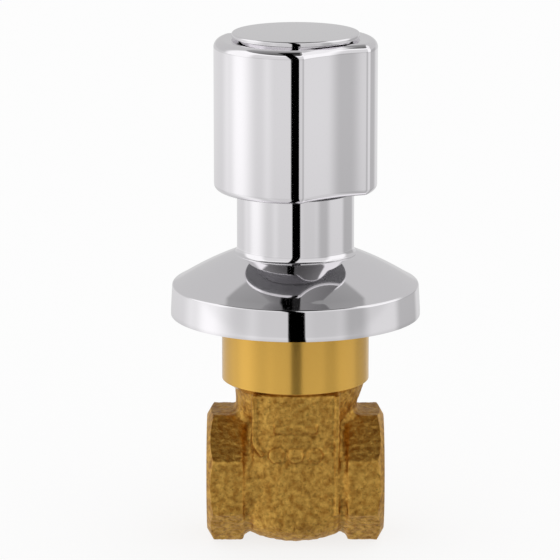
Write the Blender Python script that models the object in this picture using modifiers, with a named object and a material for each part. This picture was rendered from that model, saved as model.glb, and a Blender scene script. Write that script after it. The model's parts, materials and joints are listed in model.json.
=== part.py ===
"""Concealed stop valve: a brass gate valve with its chrome escutcheon, sleeve and fluted knob.

Metres, +Z up. The origin is under the valve axis, on the plane of the lower flats of the pipe ends,
which the valve stands on. The pipe runs along X, the front is -Y and the valve axis is Z.
The gate is shut. Heights named z_... are above the origin.
"""

import math

import bmesh
import bpy
from mathutils import Matrix, Vector

GAP = 0.0003                     # left between neighbouring pieces

# Pipe ends: octagons with a pipe thread inside, and a chamfer turned on each face
PORT_R = 0.01205                 # at the thread's crests
PORT_DEPTH = 0.013
PORT_CHAMFER = 0.001
END_WALL = 0.00475               # from the port to a flat of the octagon
END_SIDES = 8
END_LENGTH = 0.0095
BODY_LENGTH = 0.046              # from face to face
FACE_LAND = 0.00195              # flat ring between the port's chamfer and the turned chamfer
FACE_CHAMFER_ANGLE = math.radians(30)

# Gate and the room it slides in
FLOW_R = 0.009
GATE_OVERLAP = 0.0026            # of the gate past the flow bore
GATE_HALF_THICKNESS = 0.006      # on the pipe axis
GATE_TAPER = math.radians(4)
GATE_EDGE_GAP = 0.0005           # between the gate's edge and its room
GATE_BOSS_HALF = 0.0062
GATE_HEIGHT = 0.016              # from the pipe axis to the top of the boss
TRAVEL = 0.020
TRAVEL_SPARE = 0.001             # left above the open gate

# Middle of the body, as cast
WAIST_STEP = 0.001               # of the round waist below the flats
CHAMBER_HALF_LENGTH = 0.011      # along the pipe
CHAMBER_WALL = 0.0049
CHAMBER_FLARE = 0.0018           # of the front and back towards the collar
CHAMBER_FLARE_START = 0.0065     # above the pipe axis, where the flare begins
CHAMBER_CORNER = 0.010
CHAMBER_CROWN = 0.0019
CHAMBER_LIFT = 0.0002            # of the belly above the flats' plane
NECK_LEAN = 0.0013               # the raw neck's top stands off the axis, towards +X
NECK_FOOT_R = 0.0115
NECK_STEP = 0.0021               # of the neck's top inside the collar
NECK_TAPER = 0.0015
NECK_SHOULDER = 0.0175           # height above the pipe axis where the neck is round

# Turned collar, and the bonnet that screws into it
COLLAR_WALL = 0.0027
COLLAR_LENGTH = 0.0155
COLLAR_TOP = 0.041               # above the pipe axis
COLLAR_CHAMFER_WIDTH = 0.0036
COLLAR_CHAMFER_LENGTH = 0.00235
COLLAR_BORE_BELOW = 0.001        # of the bore's floor below the collar's edge
SKIRT_WALL = 0.002
SKIRT_CLEARANCE = 0.001          # around the lifted gate
GASKET_THICKNESS = 0.001
GASKET_WIDTH = 0.0022
BONNET_HEX_FLATS = 0.031
BONNET_HEX_HEIGHT = 0.0045
BONNET_WEB = 0.003
TOWER_WALL = 0.0064
EDGE = 0.0005                    # small chamfer on turned edges

# Stem and its seals
STEM_R = 0.004
STEM_THREAD_R = 0.0035
STEM_THREAD_GRIP = 0.0055        # of the stem in the shut gate
STEM_TIP_GAP = 0.0004            # under the stem's tip when the gate is open
STEM_COLLAR_R = 0.0069
STEM_COLLAR_HEIGHT = 0.003
POCKET_CLEARANCE = 0.0004
WASHER_THICKNESS = 0.0007
PACKING_HEIGHT = 0.002
FOLLOWER_HEIGHT = 0.004
GLAND_GRIP = 0.0095              # of the gland nut in the bonnet
GLAND_HEX_FLATS = 0.017
GLAND_HEX_HEIGHT = 0.004
GLAND_BORE_CLEARANCE = 0.00075
SEAL_HEIGHT = 0.004              # of the stem's O-ring below the top of the bonnet
SEAL_MINOR_R = 0.0007
SEAL_GROOVE_R = 0.0028
SEAL_GROOVE_HALF = 0.001
SPLINE_TEETH = 12
SPLINE_TIP_R = 0.0039
SPLINE_ROOT_R = 0.0035

# Escutcheon and sleeve
SLEEVE_WALL = 0.0011
SLEEVE_ABOVE = 0.0161            # from the escutcheon to its top
SLEEVE_BELOW = 0.0068            # hidden inside the escutcheon
SLEEVE_BEAD = 0.0008             # flare of its foot
SLEEVE_BEAD_HEIGHT = 0.0017
SLEEVE_BEAD_LAND = 0.0002        # upright edge of the flare
ESCUTCHEON_R = 0.03225           # at the rim's lower edge
ESCUTCHEON_SHELL = 0.001
ESCUTCHEON_RIM = 0.0082
ESCUTCHEON_RISE = 0.0079         # of the cone
ESCUTCHEON_CROWN = 0.0005
RIM_DRAFT = 0.00035
RIM_FILLET = 0.0007
RIM_LAND = 0.0012                # upright foot of the rim, square to the wall
RIM_ABOVE_COLLAR = 0.0016
THROAT_LIP = 0.0037

# Knob, with two concave flutes
KNOB_R = 0.021
KNOB_HEIGHT = 0.0391
KNOB_TOP_FILLET = 0.0022
KNOB_FOOT_FILLET = 0.0016
FLUTE_DEPTH = 0.0041
FLUTE_R = 0.036
FLUTE_CORNER_EXTRA = 0.0003      # by which a flute's corners are rounder than the top edge
FLUTE_DIRECTION = math.radians(-56)
FLUTES = 2
KNOB_WALL = 0.0023               # behind a flute
KNOB_RECESS = 0.0115             # depth of the room under the cap
KNOB_WEB = 0.004
HUB_R = 0.0077
HUB_LENGTH = 0.0233
HUB_DISC_INSET = 0.0026
HUB_DISC = 0.002
HUB_ROOF = 0.001                 # over the splined bore

# Screw and cap
SCREW_R = 0.002
SCREW_LENGTH = 0.0147
SCREW_HEAD_R = 0.0046
SCREW_HEAD_HEIGHT = 0.0032
SCREW_SOCKET_FLATS = 0.004
SCREW_SOCKET_DEPTH = 0.0018
SCREW_WASHER_R = 0.006
SCREW_WASHER_THICKNESS = 0.0008
CAP_LIP = 0.0018                 # of the cap past the recess
CAP_THICKNESS = 0.0011
CAP_DOME = 0.0002
CAP_FILLET = 0.0005
CAP_GROOVE = 0.0005              # shadow gap between cap and knob
CAP_SPIGOT = 0.006
CAP_SPIGOT_WALL = 0.0015
CAP_SEAL_MINOR_R = 0.0005
CAP_SEAL_HEIGHT = 0.0037         # below the underside of the cap

LARGE = 48                       # facets round large pieces
SMALL = 24                       # facets round small ones

# Sizes that follow
end_flat = PORT_R + END_WALL
z_pipe = end_flat
face_x = BODY_LENGTH / 2
end_face_r = PORT_R + PORT_CHAMFER + FACE_LAND
gate_r = FLOW_R + GATE_OVERLAP
room_r = gate_r + GATE_EDGE_GAP
waist_r = end_flat - WAIST_STEP
chamber_half_depth = room_r + CHAMBER_WALL

skirt_inner = math.hypot(gate_r, GATE_HALF_THICKNESS) + SKIRT_CLEARANCE
skirt_r = skirt_inner + SKIRT_WALL
collar_bore = skirt_r + GAP
collar_r = collar_bore + COLLAR_WALL
z_collar_top = z_pipe + COLLAR_TOP
z_collar_low = z_collar_top - COLLAR_LENGTH
z_collar_floor = z_collar_low - COLLAR_BORE_BELOW
neck_top_r = collar_r - NECK_STEP

z_gate_top = z_pipe + GATE_HEIGHT
z_web_low = z_gate_top + TRAVEL + TRAVEL_SPARE
z_web_top = z_web_low + BONNET_WEB
z_stem_tip = z_gate_top - STEM_THREAD_GRIP
z_gate_floor = z_stem_tip - TRAVEL - STEM_TIP_GAP
gate_bore = STEM_THREAD_R + GAP
stem_hole = STEM_R + GAP

z_gasket = z_collar_top + GAP
z_hex = z_gasket + GASKET_THICKNESS + GAP
z_hex_top = z_hex + BONNET_HEX_HEIGHT
pocket_r = STEM_COLLAR_R + POCKET_CLEARANCE
packing_r = pocket_r - GAP
tower_r = pocket_r + TOWER_WALL

z_lower_washer = z_web_top + GAP
z_stem_collar = z_lower_washer + WASHER_THICKNESS + GAP
z_upper_washer = z_stem_collar + STEM_COLLAR_HEIGHT + GAP
z_lower_packing = z_upper_washer + WASHER_THICKNESS + GAP
z_upper_packing = z_lower_packing + PACKING_HEIGHT + GAP
z_follower = z_upper_packing + PACKING_HEIGHT + GAP
z_gland = z_follower + FOLLOWER_HEIGHT + GAP
z_tower_top = z_gland + GLAND_GRIP
z_gland_hex = z_tower_top + GAP
z_gland_top = z_gland_hex + GLAND_HEX_HEIGHT
z_seal = z_tower_top - SEAL_HEIGHT

sleeve_inner = tower_r + GAP
sleeve_r = sleeve_inner + SLEEVE_WALL
throat_r = sleeve_r + GAP
z_rim_low = z_collar_top + RIM_ABOVE_COLLAR
z_rim_top = z_rim_low + ESCUTCHEON_RIM
z_throat = z_rim_top + ESCUTCHEON_RISE
z_bead = z_throat + GAP
z_sleeve_low = z_bead - SLEEVE_BELOW
z_sleeve_top = z_bead + SLEEVE_ABOVE

z_knob = z_sleeve_top + GAP
z_knob_top = z_knob + KNOB_HEIGHT
flute_corner = KNOB_TOP_FILLET + FLUTE_CORNER_EXTRA
knob_cavity_r = KNOB_R - FLUTE_DEPTH - KNOB_WALL
z_knob_web_top = z_knob_top - KNOB_RECESS
z_knob_web = z_knob_web_top - KNOB_WEB
z_hub_disc = z_knob_web_top + GAP
z_hub = z_hub_disc - HUB_LENGTH
z_hub_top = z_hub_disc + HUB_DISC
z_socket_roof = z_hub_top - HUB_DISC - HUB_ROOF
z_stem_top = z_socket_roof - GAP
hub_disc_r = knob_cavity_r - HUB_DISC_INSET
z_screw_washer = z_hub_top + GAP
z_screw_head = z_screw_washer + SCREW_WASHER_THICKNESS + GAP
z_screw_tip = z_screw_head - SCREW_LENGTH
z_cap = z_knob_top + CAP_GROOVE
cap_r = knob_cavity_r + CAP_LIP
spigot_r = knob_cavity_r - GAP
cap_seal_r = spigot_r - CAP_SEAL_MINOR_R + GAP / 2
z_cap_seal = z_cap - CAP_SEAL_HEIGHT


# Scene and materials

def clear_scene():
    """Empty the scene and make the two collections."""
    for old in list(bpy.data.objects):
        bpy.data.objects.remove(old)
    for name in ("concealed_stop_valve", "cutters"):
        bpy.context.scene.collection.children.link(bpy.data.collections.new(name))


def material(name, colour, metallic, roughness):
    """A plain material with the piece's colour, shine and metal."""
    made = bpy.data.materials.new(name)
    made.use_nodes = True
    shader = made.node_tree.nodes["Principled BSDF"]
    shader.inputs["Base Color"].default_value = (*colour, 1.0)
    shader.inputs["Metallic"].default_value = metallic
    shader.inputs["Roughness"].default_value = roughness
    made.diffuse_color = (*colour, 1.0)
    return made


def axis_empty(name):
    """An empty on the valve axis that carries the pieces of one moving body."""
    empty = bpy.data.objects.new(name, None)
    bpy.data.collections["concealed_stop_valve"].objects.link(empty)
    return empty


def place(name, mesh, surface, z=0.0, parent=None):
    """Put a mesh in the part's collection, or among the cutters if it has no material."""
    made = bpy.data.objects.new(name, mesh)
    made.location.z = z
    made.parent = parent
    if surface is None:
        bpy.data.collections["cutters"].objects.link(made)
        made.hide_render = True
        made.display_type = "WIRE"
    else:
        bpy.data.collections["concealed_stop_valve"].objects.link(made)
        mesh.materials.append(surface)
    return made


# Shapes

def arc(centre_r, centre_z, radius, start, end, steps):
    """Points of an arc in a profile, angles in degrees from the outward direction."""
    points = []
    for step in range(steps + 1):
        angle = math.radians(start + (end - start) * step / steps)
        points.append((centre_r + radius * math.cos(angle), centre_z + radius * math.sin(angle)))
    return points


def turned(name, profile, surface, z=0.0, parent=None, closed=False, facets=LARGE):
    """Turn a profile of (radius, height) about the valve axis; closed profiles make rings."""
    mesh = bpy.data.meshes.new(name)
    shape = bmesh.new()
    verts = [shape.verts.new((radius, 0.0, height)) for radius, height in profile]
    for first, second in zip(verts, verts[1:]):
        shape.edges.new((first, second))
    if closed:
        shape.edges.new((verts[-1], verts[0]))
    shape.to_mesh(mesh)
    shape.free()
    made = place(name, mesh, surface, z, parent)
    screw = made.modifiers.new("Turn", "SCREW")
    screw.axis = "Z"
    screw.steps = facets
    screw.render_steps = facets
    screw.use_merge_vertices = True
    screw.merge_threshold = 0.00001
    screw.use_normal_calculate = False
    return made


def ring(name, inner, outer, height, surface, z, parent=None, facets=SMALL):
    """A plain flat ring or bush."""
    profile = [(outer, height), (outer, 0.0), (inner, 0.0), (inner, height)]
    return turned(name, profile, surface, z, parent, closed=True, facets=facets)


def seal_ring(name, major, minor, surface, z, parent, facets=SMALL):
    """A rubber ring of round section."""
    profile = arc(0.0, 0.0, minor, 0, -315, 7)
    profile = [(major + radius, height) for radius, height in profile]
    return turned(name, profile, surface, z, parent, closed=True, facets=facets)


def lofted(name, rings, surface, z=0.0, parent=None):
    """A closed skin through rings that have the same number of points."""
    mesh = bpy.data.meshes.new(name)
    shape = bmesh.new()
    levels = [[shape.verts.new(point) for point in points] for points in rings]
    count = len(levels[0])
    for low, high in zip(levels, levels[1:]):
        for i in range(count):
            after = (i + 1) % count
            shape.faces.new((low[i], low[after], high[after], high[i]))
    shape.faces.new(list(reversed(levels[0])))
    shape.faces.new(levels[-1])
    bmesh.ops.recalc_face_normals(shape, faces=shape.faces)
    shape.to_mesh(mesh)
    shape.free()
    return place(name, mesh, surface, z, parent)


def prism(name, sides, flat, height, surface, z=0.0, parent=None):
    """A regular prism along Z, given the distance from its axis to a flat."""
    mesh = bpy.data.meshes.new(name)
    shape = bmesh.new()
    corner = flat / math.cos(math.pi / sides)
    bmesh.ops.create_cone(shape, cap_ends=True, segments=sides, radius1=corner, radius2=corner, depth=height)
    bmesh.ops.translate(shape, verts=shape.verts, vec=(0, 0, height / 2))
    shape.to_mesh(mesh)
    shape.free()
    return place(name, mesh, surface, z, parent)


def toothed(name, tip, root, height, surface, z=0.0, parent=None):
    """A splined bar: its outline goes from tooth tip to root and back."""
    count = 2 * SPLINE_TEETH
    radii = [tip if i % 2 == 0 else root for i in range(count)]
    angles = [2 * math.pi * i / count for i in range(count)]
    rings = []
    for level in (0.0, height):
        rings.append([Vector((r * math.cos(a), r * math.sin(a), level)) for r, a in zip(radii, angles)])
    return lofted(name, rings, surface, z, parent)


def circle(radius, height, centre_x=0.0, facets=LARGE):
    """A level ring of points."""
    angles = [2 * math.pi * i / facets for i in range(facets)]
    return [Vector((centre_x + radius * math.cos(a), radius * math.sin(a), height)) for a in angles]


def along_pipe(made, side=1):
    """Turn a shape made about Z so that its +Z points along the pipe, outwards at that side."""
    made.rotation_euler = (0, side * math.pi / 2, 0)
    made.location.z = z_pipe
    return made


def apply_modifiers(made):
    """Replace an object's mesh by what its modifiers give."""
    bpy.context.view_layer.update()
    view = bpy.context.evaluated_depsgraph_get()
    mesh = bpy.data.meshes.new_from_object(made.evaluated_get(view))
    made.modifiers.clear()
    made.data = mesh


def combine(piece, operation, *tools):
    """Join tools to the piece, cut them out or keep what they share, all at once, and remove them."""
    batch = bpy.data.collections.new("batch")
    for tool in tools:
        batch.objects.link(tool)
    change = piece.modifiers.new(operation.title(), "BOOLEAN")
    change.operation = operation
    change.solver = "EXACT"
    change.operand_type = "COLLECTION"
    change.collection = batch
    apply_modifiers(piece)
    for tool in tools:
        bpy.data.objects.remove(tool)
    bpy.data.collections.remove(batch)
    return piece


def smooth(made):
    """Shade round surfaces smooth and keep real edges sharp."""
    apply_modifiers(made)
    made.data.shade_smooth()
    made.data.set_sharp_from_angle(angle=math.radians(32))


# Valve body, one casting

def pipe_end(side):
    """One octagonal end, its face chamfered as a nut's is."""
    end = prism("end", END_SIDES, end_flat, END_LENGTH, None)
    end.data.transform(Matrix.Rotation(math.pi / END_SIDES, 4, "Z"))
    spread = END_LENGTH / math.tan(FACE_CHAMFER_ANGLE)
    profile = [
        (0.0, END_LENGTH),
        (end_face_r, END_LENGTH),
        (end_face_r + spread, 0.0),
        (end_face_r + spread, -EDGE),
        (0.0, -EDGE),
    ]
    combine(end, "INTERSECT", turned("end_cone", profile, None))
    along_pipe(end, side)
    end.location.x = side * (face_x - END_LENGTH)
    return end


def waist():
    """The round middle of the body, between its ends."""
    reach = face_x - END_LENGTH / 2
    profile = [(0.0, reach), (waist_r, reach), (waist_r, -reach), (0.0, -reach)]
    return along_pipe(turned("waist", profile, None))


def chamber_section(x):
    """One slice of the gate chamber across the pipe: a U with round corners, flared at its top."""
    inset = CHAMBER_CROWN * (x / CHAMBER_HALF_LENGTH) ** 2
    half = chamber_half_depth - inset
    low = CHAMBER_LIFT + inset
    corner_z = low + CHAMBER_CORNER
    z_top = z_collar_low - EDGE
    z_start = z_pipe + CHAMBER_FLARE_START
    levels = 4
    side = []
    for level in range(levels):
        share = 1 - level / levels
        stand_out = CHAMBER_FLARE * (1 - math.cos(math.pi * share)) / 2
        side.append((half + stand_out, z_start + share * (z_top - z_start)))
    foot = arc(half - CHAMBER_CORNER, corner_z, CHAMBER_CORNER, 0, -90, 5)
    right = side + foot
    left = [(-depth, height) for depth, height in reversed(right)]
    return [Vector((x, depth, height)) for depth, height in right + left]


def chamber(name, surface):
    """The slab-shaped chamber that the gate slides in, standing across the pipe."""
    slices = 8
    places = [CHAMBER_HALF_LENGTH * (2 * i / slices - 1) for i in range(slices + 1)]
    return lofted(name, [chamber_section(x) for x in places], surface)


def neck():
    """The raw round neck, leaning a little as it rises into the collar."""
    foot_z = z_pipe + NECK_SHOULDER - NECK_STEP
    shoulder_z = z_pipe + NECK_SHOULDER
    rings = [
        circle(NECK_FOOT_R, foot_z - NECK_FOOT_R),
        circle(NECK_FOOT_R, foot_z - NECK_FOOT_R / 2),
        circle(neck_top_r - NECK_TAPER, shoulder_z),
        circle(neck_top_r, z_collar_low, NECK_LEAN),
        circle(neck_top_r, z_collar_low + EDGE, NECK_LEAN),
    ]
    return lofted("neck", rings, None)


def collar():
    """The turned collar, chamfered at its foot."""
    profile = [
        (0.0, z_collar_top),
        (collar_r - EDGE, z_collar_top),
        (collar_r, z_collar_top - EDGE),
        (collar_r, z_collar_low),
        (collar_r - COLLAR_CHAMFER_WIDTH, z_collar_low - COLLAR_CHAMFER_LENGTH),
        (0.0, z_collar_low - COLLAR_CHAMFER_LENGTH),
    ]
    return turned("collar", profile, None)


def port(side):
    """The room of one threaded port, to its flat floor."""
    profile = [
        (0.0, EDGE),
        (PORT_R + PORT_CHAMFER + EDGE, EDGE),
        (PORT_R, -PORT_CHAMFER),
        (PORT_R, -PORT_DEPTH),
        (0.0, -PORT_DEPTH),
    ]
    room = along_pipe(turned("port", profile, None), side)
    room.location.x = side * face_x
    return room


def flow_bore():
    """The bore between the two ports."""
    reach = face_x - PORT_DEPTH + EDGE
    profile = [(0.0, reach), (FLOW_R, reach), (FLOW_R, -reach), (0.0, -reach)]
    return along_pipe(turned("flow_bore", profile, None))


def wedge(name, outline, half_thickness, surface, parent=None):
    """A plate across the pipe with an outline of (depth, height), thicker towards its top."""
    faces = []
    for side in (-1, 1):
        face = []
        for depth, height in outline:
            half = half_thickness + (height - z_pipe) * math.tan(GATE_TAPER)
            face.append(Vector((side * half, depth, height)))
        faces.append(face)
    return lofted(name, faces, surface, 0.0, parent)


def gate_room():
    """The tapered room that the gate slides in, open at the top into the collar."""
    top = z_collar_floor + EDGE
    outline = [(room_r, top)] + arc(0.0, z_pipe, room_r, 0, -180, 20) + [(-room_r, top)]
    return wedge("gate_room", outline, GATE_HALF_THICKNESS + GAP, None)


def collar_room():
    """The bore that the bonnet screws into."""
    top = z_collar_top + EDGE
    mouth = collar_bore + EDGE
    profile = [
        (0.0, top),
        (mouth + EDGE, top),
        (collar_bore, z_collar_top - EDGE),
        (collar_bore, z_collar_floor),
        (0.0, z_collar_floor),
    ]
    return turned("collar_room", profile, None)


def valve_body(surface):
    """The casting: chamber, waist, neck, collar and two ends, then what is machined out of it."""
    body = chamber("valve_body", surface)
    combine(body, "UNION", waist(), neck(), collar(), pipe_end(-1), pipe_end(1))
    return combine(body, "DIFFERENCE", port(-1), port(1), flow_bore(), gate_room(), collar_room())


# Gate, bonnet and stem

def gate(surface, parent):
    """The brass wedge: a round plate with a boss, and a threaded blind bore for the stem."""
    shoulder = math.degrees(math.acos(GATE_BOSS_HALF / gate_r))
    outline = [(GATE_BOSS_HALF, z_gate_top)]
    outline += arc(0.0, z_pipe, gate_r, shoulder, -180 - shoulder, 28)
    outline += [(-GATE_BOSS_HALF, z_gate_top)]
    plate = wedge("gate", outline, GATE_HALF_THICKNESS, surface, parent)
    top = z_gate_top + EDGE
    bore = turned("bore", [(0.0, top), (gate_bore, top), (gate_bore, z_gate_floor), (0.0, z_gate_floor)],
                  None, facets=SMALL)
    return combine(plate, "DIFFERENCE", bore)


def bonnet(surface):
    """Skirt, hexagon and tower in one turned piece, with the stem's hole through its web."""
    outside = [
        (0.0, z_tower_top),
        (tower_r - EDGE, z_tower_top),
        (tower_r, z_tower_top - EDGE),
        (tower_r, z_hex + EDGE),
        (skirt_r, z_hex + EDGE),
        (skirt_r, z_collar_floor + GAP),
        (0.0, z_collar_floor + GAP),
    ]
    body = turned("bonnet", outside, surface)
    hexagon = prism("hexagon", 6, BONNET_HEX_FLATS / 2, BONNET_HEX_HEIGHT, None, z_hex)
    combine(body, "UNION", hexagon)
    inside = [
        (0.0, z_tower_top + EDGE),
        (pocket_r, z_tower_top + EDGE),
        (pocket_r, z_web_top),
        (stem_hole, z_web_top),
        (stem_hole, z_web_low),
        (skirt_inner, z_web_low),
        (skirt_inner, z_collar_floor - EDGE),
        (0.0, z_collar_floor - EDGE),
    ]
    return combine(body, "DIFFERENCE", turned("inside", inside, None))


def stem(surface, parent):
    """The non-rising stem: threaded foot, collar, seal groove and splined head."""
    thread_top = z_web_low - EDGE
    z_spline = z_hub - EDGE
    profile = [
        (0.0, z_spline),
        (STEM_R, z_spline),
        (STEM_R, z_seal + SEAL_GROOVE_HALF),
        (SEAL_GROOVE_R, z_seal + SEAL_GROOVE_HALF),
        (SEAL_GROOVE_R, z_seal - SEAL_GROOVE_HALF),
        (STEM_R, z_seal - SEAL_GROOVE_HALF),
        (STEM_R, z_stem_collar + STEM_COLLAR_HEIGHT),
        (STEM_COLLAR_R, z_stem_collar + STEM_COLLAR_HEIGHT),
        (STEM_COLLAR_R, z_stem_collar),
        (STEM_R, z_stem_collar),
        (STEM_R, thread_top),
        (STEM_THREAD_R, thread_top - EDGE),
        (STEM_THREAD_R, z_stem_tip + EDGE),
        (STEM_THREAD_R - EDGE, z_stem_tip),
        (0.0, z_stem_tip),
    ]
    body = turned("stem", profile, surface, parent=parent, facets=SMALL)
    below = EDGE
    spline = toothed("spline", SPLINE_TIP_R, SPLINE_ROOT_R, z_stem_top - z_spline + below, None, z_spline - below)
    combine(body, "UNION", spline)
    hole_r = SCREW_R + GAP
    floor = z_screw_tip - GAP
    hole = [(0.0, z_stem_top + EDGE), (hole_r, z_stem_top + EDGE), (hole_r, floor), (0.0, floor)]
    return combine(body, "DIFFERENCE", turned("hole", hole, None, facets=SMALL))


def packing(surfaces, handle):
    """Gasket, thrust washers, packing rings, follower and the stem's rubber ring."""
    steel, fibre, rubber, brass = surfaces
    ring("bonnet_gasket", skirt_r + GAP, skirt_r + GASKET_WIDTH, GASKET_THICKNESS, fibre, z_gasket,
         facets=LARGE)
    for name, surface, z, height in (
        ("lower_thrust_washer", steel, z_lower_washer, WASHER_THICKNESS),
        ("upper_thrust_washer", steel, z_upper_washer, WASHER_THICKNESS),
        ("lower_packing_ring", fibre, z_lower_packing, PACKING_HEIGHT),
        ("upper_packing_ring", fibre, z_upper_packing, PACKING_HEIGHT),
        ("gland_follower", brass, z_follower, FOLLOWER_HEIGHT),
    ):
        ring(name, stem_hole, packing_r, height, surface, z)
    seal_major = SEAL_GROOVE_R + GAP + SEAL_MINOR_R
    seal_ring("stem_o_ring", seal_major, SEAL_MINOR_R, rubber, z_seal, handle)


def gland_nut(surface):
    """The nut that presses the packing."""
    shank = [(0.0, z_gland_hex + EDGE), (packing_r, z_gland_hex + EDGE), (packing_r, z_gland), (0.0, z_gland)]
    nut = turned("gland_nut", shank, surface, facets=SMALL)
    hexagon = prism("hexagon", 6, GLAND_HEX_FLATS / 2, GLAND_HEX_HEIGHT, None, z_gland_hex)
    combine(nut, "UNION", hexagon)
    bore_r = STEM_R + GLAND_BORE_CLEARANCE
    top = z_gland_top + EDGE
    low = z_gland - EDGE
    bore = turned("bore", [(0.0, top), (bore_r, top), (bore_r, low), (0.0, low)], None, facets=SMALL)
    return combine(nut, "DIFFERENCE", bore)


# Chrome trim

def escutcheon(surface):
    """The wall flange: a pressed shell with a lip round the sleeve, a cone and a rim."""
    rim_r = ESCUTCHEON_R - RIM_DRAFT
    cone_foot = rim_r - RIM_FILLET
    slope = math.degrees(math.atan2(ESCUTCHEON_RISE, cone_foot - throat_r))
    profile = [(throat_r, z_throat - THROAT_LIP), (throat_r, z_throat - EDGE), (throat_r + EDGE, z_throat)]
    steps = 6
    for step in range(1, steps):
        share = step / steps
        radius = throat_r + EDGE + share * (cone_foot - throat_r - EDGE)
        crown = ESCUTCHEON_CROWN * 4 * share * (1 - share)
        profile.append((radius, z_throat - share * ESCUTCHEON_RISE + crown))
    profile += arc(rim_r - RIM_FILLET, z_rim_top - RIM_FILLET, RIM_FILLET, 90 - slope, 0, 3)
    profile.append((ESCUTCHEON_R, z_rim_low + RIM_LAND))
    profile.append((ESCUTCHEON_R, z_rim_low))
    shell = turned("escutcheon", profile, surface)
    wall = shell.modifiers.new("Wall", "SOLIDIFY")
    wall.thickness = ESCUTCHEON_SHELL
    wall.offset = -1
    wall.use_even_offset = True
    return shell


def sleeve(surface):
    """The tube between the escutcheon and the knob, with a flared foot."""
    profile = [
        (sleeve_inner, z_sleeve_top),
        (sleeve_r - EDGE / 2, z_sleeve_top),
        (sleeve_r, z_sleeve_top - EDGE / 2),
    ]
    steps = 4
    for step in range(steps + 1):
        angle = math.pi / 2 * step / steps
        height = SLEEVE_BEAD_LAND + SLEEVE_BEAD_HEIGHT * (1 - math.sin(angle))
        profile.append((sleeve_r + SLEEVE_BEAD * (1 - math.cos(angle)), z_bead + height))
    profile += [
        (sleeve_r + SLEEVE_BEAD, z_bead),
        (sleeve_r, z_bead),
        (sleeve_r, z_sleeve_low),
        (sleeve_inner, z_sleeve_low),
    ]
    return turned("sleeve", profile, surface, closed=True)


def knob_ring(inset, z):
    """One level of the knob: long arcs of its rim, concave flutes and rounded corners between them."""
    flute_centre = KNOB_R - FLUTE_DEPTH + FLUTE_R
    orbit = KNOB_R - flute_corner
    reach = FLUTE_R + flute_corner
    half = math.acos((orbit ** 2 + flute_centre ** 2 - reach ** 2) / (2 * orbit * flute_centre))
    lean = math.atan2(orbit * math.sin(half), flute_centre - orbit * math.cos(half))
    pitch = 2 * math.pi / FLUTES
    points = []

    def sweep(distance, bearing, radius, start, end, steps, direction):
        """Add an arc whose centre lies off the knob's axis; its last point starts the next arc."""
        for step in range(steps):
            angle = direction + start + (end - start) * step / steps
            x = distance * math.cos(direction + bearing) + radius * math.cos(angle)
            y = distance * math.sin(direction + bearing) + radius * math.sin(angle)
            points.append(Vector((x, y, z)))

    for flute in range(FLUTES):
        direction = FLUTE_DIRECTION + flute * pitch
        corner = flute_corner - inset
        sweep(orbit, -half, corner, -half, lean, 3, direction)
        sweep(flute_centre, 0.0, FLUTE_R + inset, math.pi + lean, math.pi - lean, 8, direction)
        sweep(orbit, half, corner, -lean, half, 3, direction)
        sweep(0.0, 0.0, KNOB_R - inset, half, pitch - half, 14, direction)
    return points


def knob(surface, parent):
    """The fluted knob, hollow below its web and recessed above it."""
    rings = []
    steps = 3
    for step in range(steps + 1):
        angle = math.pi / 2 * step / steps
        inset = KNOB_FOOT_FILLET * (1 - math.sin(angle))
        rings.append(knob_ring(inset, z_knob + KNOB_FOOT_FILLET * (1 - math.cos(angle))))
    for step in range(steps + 1):
        angle = math.pi / 2 * step / steps
        inset = KNOB_TOP_FILLET * (1 - math.cos(angle))
        rings.append(knob_ring(inset, z_knob_top - KNOB_TOP_FILLET * (1 - math.sin(angle))))
    body = lofted("knob", rings, surface, parent=parent)
    hole_r = HUB_R + GAP
    inside = [
        (0.0, z_knob_top + EDGE),
        (knob_cavity_r, z_knob_top + EDGE),
        (knob_cavity_r, z_knob_web_top),
        (hole_r, z_knob_web_top),
        (hole_r, z_knob_web),
        (knob_cavity_r, z_knob_web),
        (knob_cavity_r, z_knob - EDGE),
        (0.0, z_knob - EDGE),
    ]
    return combine(body, "DIFFERENCE", turned("inside", inside, None))


def knob_insert(surface, parent):
    """The moulded hub: a disc on the knob's web and a splined socket over the stem."""
    profile = [
        (0.0, z_hub_top),
        (hub_disc_r, z_hub_top),
        (hub_disc_r, z_hub_disc),
        (HUB_R, z_hub_disc),
        (HUB_R, z_hub),
        (0.0, z_hub),
    ]
    hub = turned("knob_insert", profile, surface, parent=parent, facets=SMALL)
    below = EDGE
    socket = toothed("socket", SPLINE_TIP_R + GAP, SPLINE_ROOT_R + GAP, z_socket_roof - z_hub + below, None,
                     z_hub - below)
    hole_r = SCREW_R + 2 * GAP
    top = z_hub_top + EDGE
    low = z_socket_roof - EDGE
    hole = turned("hole", [(0.0, top), (hole_r, top), (hole_r, low), (0.0, low)], None, facets=SMALL)
    return combine(hub, "DIFFERENCE", socket, hole)


def knob_screw(surface, parent):
    """The socket-headed screw that holds the knob on the stem."""
    z_head_top = z_screw_head + SCREW_HEAD_HEIGHT
    profile = [
        (0.0, z_head_top),
        (SCREW_HEAD_R - EDGE, z_head_top),
        (SCREW_HEAD_R, z_head_top - EDGE),
        (SCREW_HEAD_R, z_screw_head),
        (SCREW_R, z_screw_head),
        (SCREW_R, z_screw_tip + EDGE),
        (SCREW_R - EDGE, z_screw_tip),
        (0.0, z_screw_tip),
    ]
    screw = turned("knob_screw", profile, surface, parent=parent, facets=SMALL)
    floor = z_head_top - SCREW_SOCKET_DEPTH
    socket = prism("socket", 6, SCREW_SOCKET_FLATS / 2, SCREW_SOCKET_DEPTH + EDGE, None, floor)
    return combine(screw, "DIFFERENCE", socket)


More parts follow.
